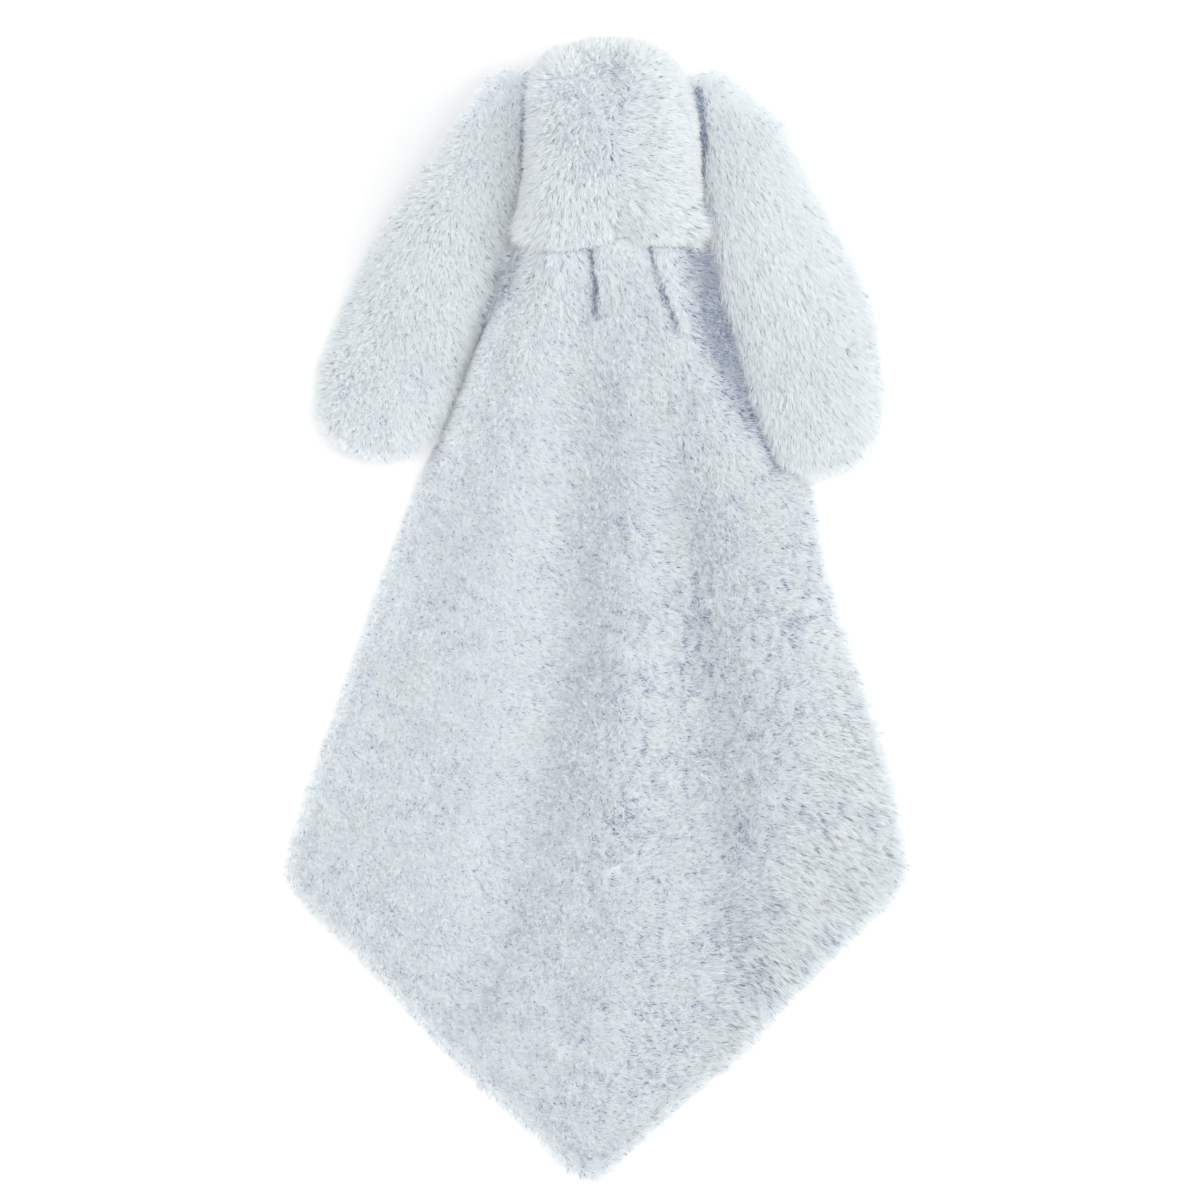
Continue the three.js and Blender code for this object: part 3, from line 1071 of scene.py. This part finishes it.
growth = {
    "density": 1.7,  # locks in a square millimetre
    "seed": 3,
    "swirl": 0.3,
    "swirlSize": 45 * mm,
    "tuft": 0.22,
    "tuftSize": spanMm(5, 8, 6),
    "patchSize": 25 * mm,
    "patchNoise": (0.35, 0.65),  # from patches without tufts to those with full ones
    "crackSize": spanMm(4.5, 14, 6),
    "crackWidth": 0.1,
    "crackCore": 0.4,
    "crackPatch": 22 * mm,
    "crackNoise": (0.42, 0.6),
    "crackLeast": 0.15,
    "crackLow": 0.8,
    "creases": [],
    "creaseCore": 0.3,
    "creaseWander": 2 * mm,
    "creaseWanderSize": 4 * mm,
    # painted shade along creases: a darker tone, and a share of dark strands
    "creaseShadeTone": 0.45,
    "creaseShade": 0.5,
    "specks": 0.026,  # share of strands darkened with painted shade everywhere
    "clusterSize": 7 * mm,
    "clusterNoise": (0.5, 0.7),
    "clusterShade": 0.05,
    "partingShade": 0.26,
    "shadeTone": 0.05,
    "shadeRise": (0.6, 1),  # where along a strand its painted shade lifts
    "warp": 0.7,
    "warpSize": 9 * mm,
    "tones": (0.62, 0.92),
    "toneSize": 1.5 * mm,
    "toneNoise": (0.3, 0.7),
    "strandSpread": 0.12,
    "faceUp": 0.8,
    "stray": 0.2,
    "roll": 0.7,
    "uneven": 0.15,
    "floorGap": 0.3 * mm,
    "lowest": 0,  # height of what the cloth lies on
    "least": 0.6 * mm,  # between that and the furred side
    "voxel": 1.8 * mm,
    "smoothing": 0.5,
    "inset": 0.5,  # share of the pile's length that the skin is drawn in by
    "deepest": 0.6,  # and the most, as a share of the panel's thickness
    "probe": 0.05 * mm,
    "draw": lambda normal: max(0, normal.z),
    "bareBelow": 1.2 * mm,
    "material": backing,
    "dip": lambda co: 0,
    "ease": lambda co: Vector((0, 0, 0)),  # how far the cloth eases out of its panel's outline
    "rim": lambda co: (1, 1),
    "rimFacing": (0.2, 0.7),
    "underRim": 0.6,  # share of the pile's length that is left on the underside of a rim
    "underFacing": (0, 0.4),
    "pressed": lambda co: 1,  # painted shade tone in the blanket's valleys
}
# painted shade along the bottoms of the blanket's valleys
valleyShade = 0.1
blanketCloth = dict(
    growth,
    lowest=1 * mm,
    outward=upwards,
    comb=blanketComb,
    pile=blanketPile,
    cracks=blanketCracks,
    creases=pleats,
    dip=blanketDip,
    ease=blanketEase,
    rim=blanketRim,
    pressed=lambda co: 1 - valleyShade * inValley(co),
)
leftEarCloth = dict(
    growth,
    seed=21,
    outward=upwards,
    comb=lambda co: combAt(-95, 0.3),
    pile=lambda co: earPile(co, 4 * mm, 2.8 * mm),
    cracks=lambda co: 0.3,
    ease=leftEarEase,
    creases=earCreases[:1],
)
rightEarCloth = dict(
    growth,
    seed=31,
    outward=upwards,
    comb=lambda co: combAt(-65, 0.75),
    pile=lambda co: earPile(co, 5 * mm, 3 * mm),
    specks=0.015,
    cracks=lambda co: 0.15,
    ease=rightEarEase,
    creases=earCreases[1:],
)
headCloth = dict(
    growth,
    outward=outOfHead,
    pile=headPile,
    draw=lambda normal: 1,
    cracks=lambda co: 0.5,
    ease=headEase,
    creases=earCreases,
)
gussetCloth = dict(headCloth, seed=41, comb=lambda co: combAt(-70, 0.5))
leftSideCloth = dict(headCloth, seed=51, comb=lambda co: combAt(-80, 0.35))
rightSideCloth = dict(headCloth, seed=61, comb=lambda co: combAt(-15, 0.7))
chinCloth = dict(headCloth, seed=71, comb=lambda co: combAt(-90, 0.5))

stripWidth = 22 * mm
stripNames = ("outer_left", "far_left", "left", "middle", "centre", "right", "far_right", "outer_right")
pastTheEdge = 1


def everywhere(co):
    return True


# the blanket's pile grows in strips across it, the outer ones out to its corners
def blanketStrips():
    strips = []
    half = len(stripNames) // 2
    for place, name in enumerate(stripNames, -half):
        left = place * stripWidth if place > -half else -pastTheEdge
        right = (place + 1) * stripWidth if place < half - 1 else pastTheEdge
        strips.append(("blanket_pile_" + name, lambda co, left=left, right=right: left <= co.x < right))
    return strips


panels = (
    ("blanket_plush", blanketCloth, blanketStrips()),
    ("ear_left_plush", leftEarCloth, (("ear_left_pile", everywhere),)),
    ("ear_right_plush", rightEarCloth, (("ear_right_pile", everywhere),)),
    ("head_gusset", gussetCloth, (("head_gusset_pile", everywhere),)),
    ("head_side_left", leftSideCloth, (("head_side_left_pile", everywhere),)),
    ("head_side_right", rightSideCloth, (("head_side_right_pile", everywhere),)),
    ("head_chin", chinCloth, (("head_chin_pile", everywhere),)),
)

# where each cloth bends, from the first point by the head to the second
bends = {
    "blanket": {"start": (6 * mm, neckY, 42 * mm), "end": (6 * mm, neckY - 45 * mm, 42 * mm)},
    "ear_left": {"start": (-28 * mm, 184 * mm, 34 * mm), "end": (-36.5 * mm, 159 * mm, 34 * mm)},
    "ear_right": {"start": (40 * mm, 184 * mm, 34 * mm), "end": (47.4 * mm, 159 * mm, 34 * mm)},
}


def carry(piece, body):
    if body in bends:
        bend = bends[body]
        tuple(bend["start"])
        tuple(bend["end"])
        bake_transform(piece)
    else:
        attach(piece, body)


made = {}
for node, cloth, strips in panels:
    skin = skinFrom(node, node + "_cloth", cloth)
    combSkin(skin, cloth)
    body = frame["nodes"][node]["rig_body"]
    grown = [growPile(skin, name, cloth, within) for name, within in strips]
    for name in ("comb", "furred") + skinValues:
        skin.data.attributes.remove(skin.data.attributes[name])
    for piece in [skin] + grown:
        carry(piece, body)
    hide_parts(node)
    made[node] = (skin, grown)
bpy.data.collections.remove(lockCollection)


# satin linings, cut across where they bend; the blanket's has a turned hem all round
liningCut = {
    "hem": 4 * mm,
    "hemStep": 0.3 * mm,
    "short": 1.6 * mm,  # by which the lining stops short of the plush
    "under": -0.9,  # faces that look down this squarely are its underside
    "cuts": 20,
    "cutPitch": 4 * mm,
    "cutSliver": 0.001 * mm,
    "riseAlong": spanMm(60, 112),  # from where it lies flat to where it follows the plush
    "nudge": 2.5 * mm,  # how far inside the rim the plush above is felt for
    "gap": 1.6 * mm,  # left under the plush
    "eases": {"blanket": blanketEase, "ear_left": leftEarEase, "ear_right": rightEarEase},
}


# draws both ends of a shape in along one way
def drawIn(bm, way, short):
    reach = [v.co.dot(way) for v in bm.verts]
    low, high = min(reach), max(reach)
    for v, at in zip(bm.verts, reach):
        v.co += way * short * (1 - 2 * (at - low) / (high - low))


# the blanket's lining rises with the plush that it is sewn to, up to the neck
def riseWithPlush(bm, plush, s):
    tree = BVHTree.FromPolygons([v.co for v in plush.vertices], [f.vertices for f in plush.polygons])
    middle = sum(v.co.x for v in bm.verts) / len(bm.verts)
    lifts = {}
    for v in bm.verts:
        inward = math.copysign(s["nudge"], middle - v.co.x)
        hit = tree.ray_cast(Vector((v.co.x + inward, v.co.y, 0)), Vector((0, 0, 1)))
        if hit[0]:
            lifts[v] = ease(v.co.y, *s["riseAlong"]) * max(0, hit[0].z - s["gap"])
    for v, lift in lifts.items():
        v.co.z += lift


def liningFrom(nodeName, s):
    body = frame["nodes"][nodeName]["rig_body"]
    mesh, bm = openMesh(nodeName)
    start = Vector(bends[body]["start"])
    run = (Vector(bends[body]["end"]) - start).normalized()
    for way in (run, Vector((-run.y, run.x, 0))):
        drawIn(bm, way, s["short"])
    for v in bm.verts:
        v.co += s["eases"][body](v.co)
    bm.normal_update()
    if body == "blanket":
        under = [f for f in bm.faces if f.normal.z < s["under"]]
        whole = bmesh.ops.dissolve_faces(bm, faces=under)["region"]
        bmesh.ops.inset_region(bm, faces=whole, thickness=s["hem"], use_even_offset=True)
        inner = {v for f in whole if f.is_valid for v in f.verts}
        bmesh.ops.translate(bm, verts=list(inner), vec=(0, 0, s["hemStep"]))
    for cut in range(s["cuts"]):
        everything = bm.verts[:] + bm.edges[:] + bm.faces[:]
        at = start + run * s["cutPitch"] * cut
        bmesh.ops.bisect_plane(bm, geom=everything, plane_co=at, plane_no=run, dist=s["cutSliver"])
    if body == "blanket":
        riseWithPlush(bm, made["blanket_plush"][0].data, s)
    piece = closeMesh(bm, mesh, nodeName + "_cloth", satin)
    carry(piece, body)
    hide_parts(nodeName)
    made[nodeName] = (piece, [])


for node in ("blanket_lining", "ear_left_lining", "ear_right_lining"):
    liningFrom(node, liningCut)
print("linings cut")

# stuffing of loose fibre
stuffing = skinFrom("head_stuffing", "head_stuffing_fibre", dict(
    growth,
    voxel=2.5 * mm,
    outward=lambda co, normal: False,
    material=fibre,
))
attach(stuffing, "head")
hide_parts("head_stuffing")


# the disc that closes the stuffing off bellies out a little
neckDisc = {"cuts": 3, "belly": 0.6 * mm}


def discFrom(nodeName, s):
    low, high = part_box(nodeName)
    middle = (low + high) / 2
    half = (high - low) / 2
    mesh, bm = openMesh(nodeName)
    bmesh.ops.subdivide_edges(bm, edges=bm.edges, cuts=s["cuts"], use_grid_fill=True)
    for v in bm.verts:
        out = math.hypot((v.co.x - middle.x) / half.x, (v.co.z - middle.z) / half.z)
        v.co.y += s["belly"] * (1 - ease(out, 0, 1))
    piece = closeMesh(bm, mesh, nodeName + "_cloth", backing)
    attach(piece, "head")
    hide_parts(nodeName)
    made[nodeName] = (piece, [])


discFrom("neck_panel", neckDisc)
darkThread = threadMaterial(darkThreadLook)
noseThread = threadMaterial(noseThreadLook)
for name in ("eye_left", "eye_right", "mouth"):
    frame["nodes"][name].material_slots[0].material = darkThread
frame["nodes"]["nose"].material_slots[0].material = noseThread
print("stuffing and embroidery dressed")

# size that each cloth was cut to, its flat area, how it is held and what it lies on
sheets = {
    "blanket_plush": {
        "flat": (0.224, 0.345), "area": 0.047, "held": "gathered", "on": "blanket_lining_cloth",
    },
    "blanket_lining": {
        "flat": (0.220, 0.335), "area": 0.046, "held": "laid", "on": "neck_panel_cloth",
    },
    "ear_left_plush": {
        "flat": (0.051, 0.142), "area": 0.0062, "held": "hung", "on": "ear_left_lining_cloth",
    },
    "ear_right_plush": {
        "flat": (0.053, 0.142), "area": 0.0066, "held": "hung", "on": "ear_right_lining_cloth",
    },
    "ear_left_lining": {
        "flat": (0.049, 0.140), "area": 0.0059, "held": "hung", "on": "head_side_left_cloth",
    },
    "ear_right_lining": {
        "flat": (0.051, 0.140), "area": 0.0063, "held": "hung", "on": "head_side_right_cloth",
    },
    "head_gusset": {
        "flat": (0.029, 0.125), "area": 0.0022, "held": "stretched", "on": "head_stuffing_fibre",
    },
    "head_side_left": {
        "flat": (0.072, 0.085), "area": 0.0050, "held": "stretched", "on": "head_stuffing_fibre",
    },
    "head_side_right": {
        "flat": (0.072, 0.085), "area": 0.0050, "held": "stretched", "on": "head_stuffing_fibre",
    },
    "head_chin": {
        "flat": (0.030, 0.034), "area": 0.0008, "held": "stretched", "on": "head_stuffing_fibre",
    },
    "neck_panel": {
        "flat": (0.041, 0.026), "area": 0.0009, "held": "stretched", "on": "head_stuffing_fibre",
    },
}
for node, cut in sheets.items():
    cloth, onCloth = made[node]
print("sheets declared:", len(sheets))


# floor, world and lamps
studio = {
    "floor": 5.0,
    "floorColor": (0.88, 0.88, 0.88, 1),
    "floorRoughness": 0.9,
    "floorGlow": (0.2, 0.8),  # near the object, and far off where the lamps don't reach
    "floorFar": (0.5, 1.8),
    "sky": 0.64,
}
lamps = {
    "key": {"power": 6.5, "place": (1.1, 0.15, 1.0), "size": 0.9},
    "fill": {"power": 2.5, "place": (-1.0, 0.3, 1.3), "size": 1.4},
    "top": {"power": 17.0, "place": (0.15, 0.15, 2.6), "size": 1.2},
}


# 1 for what the camera sees, straight, in a gloss or through something
def seenShare(tree):
    path = addNode(tree, "ShaderNodeLightPath").outputs
    seen = number(tree, "MAXIMUM", path["Is Camera Ray"], path["Is Glossy Ray"])
    return number(tree, "MAXIMUM", seen, path["Is Transmission Ray"])


def addFloor(s):
    bm = bmesh.new()
    bmesh.ops.create_grid(bm, x_segments=1, y_segments=1, size=s["floor"] / 2)
    mesh = bpy.data.meshes.new("floor")
    bm.to_mesh(mesh)
    bm.free()
    material, tree, shader = newMaterial("floor")
    setInputs(tree, shader, {"Base Color": s["floorColor"], "Roughness": s["floorRoughness"]})
    place = addNode(tree, "ShaderNodeTexCoord").outputs["Object"]
    off = addNode(tree, "ShaderNodeVectorMath", {0: place}, operation="LENGTH").outputs["Value"]
    level = ranged(tree, off, s["floorFar"], s["floorGlow"])
    strength = number(tree, "MULTIPLY", seenShare(tree), level)
    glow = addNode(tree, "ShaderNodeEmission", {"Strength": strength})
    shaders = {0: shader.outputs["BSDF"], 1: glow.outputs["Emission"]}
    setSurface(tree, addNode(tree, "ShaderNodeAddShader", shaders))
    mesh.materials.append(material)
    newPiece("floor", mesh)


def addWorld(s):
    world = bpy.data.worlds.new("studio")
    world.use_nodes = True
    tree = world.node_tree
    setInputs(tree, tree.nodes["Background"], {
        "Color": (1, 1, 1, 1),
        "Strength": ranged(tree, seenShare(tree), (0, 1), (s["sky"], 1)),
    })
    scene.world = world


def addLamp(name, s):
    data = bpy.data.lights.new(name, "AREA")
    data.energy = s["power"]
    data.size = s["size"]
    lamp = bpy.data.objects.new(name, data)
    lamp.location = s["place"]
    lamp.rotation_euler = (-Vector(s["place"])).to_track_quat("-Z", "Y").to_euler()
    scene.collection.objects.link(lamp)


addFloor(studio)
addWorld(studio)
for name, lampSettings in lamps.items():
    addLamp(name, lampSettings)
scene.view_settings.view_transform = "Standard"
print("studio set up")
